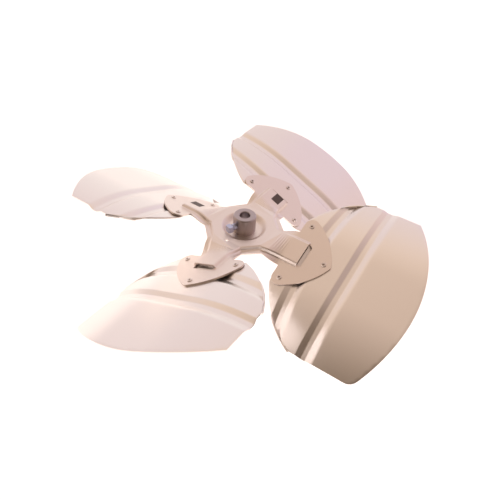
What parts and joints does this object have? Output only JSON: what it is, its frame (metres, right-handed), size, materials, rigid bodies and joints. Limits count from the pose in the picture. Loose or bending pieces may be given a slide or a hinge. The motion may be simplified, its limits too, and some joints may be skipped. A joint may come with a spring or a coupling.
{
  "type": "condenser fan blade",
  "caption": "Axial fan blade for an air-conditioner condenser: cambered sheet blades with pressed ribs, riveted to a pitched spider, with a bored hub and a square-head set screw.",
  "frame": {"origin": "on the axis of the bore, at the hub's back face", "axes": "+Z along the bore from the back face to the nose of the hub, +X along arm 1, +Y along arm 2"},
  "size_m": [0.4568, 0.4568, 0.0912],
  "materials": {
    "spider_sheet": "satin, zinc-coated pressed sheet",
    "blade_sheet": "mill-finish rolled sheet, semi-bright",
    "hub_steel": "turned, satin",
    "screw_steel": "bright zinc",
    "rivets": "rolled ends, satin",
    "label": "plain printed label, matt"
  },
  "bodies": {
    "root": {"spider": "spider_sheet", "hub": "hub_steel", "set_screw": "screw_steel", "label_2": "label", "label_3": "label", "blade_1": "blade_sheet", "blade_2": "blade_sheet", "blade_3": "blade_sheet", "blade_4": "blade_sheet", "blade_1_rivets": "rivets", "blade_2_rivets": "rivets", "blade_3_rivets": "rivets", "blade_4_rivets": "rivets"}
  },
  "joints": []
}
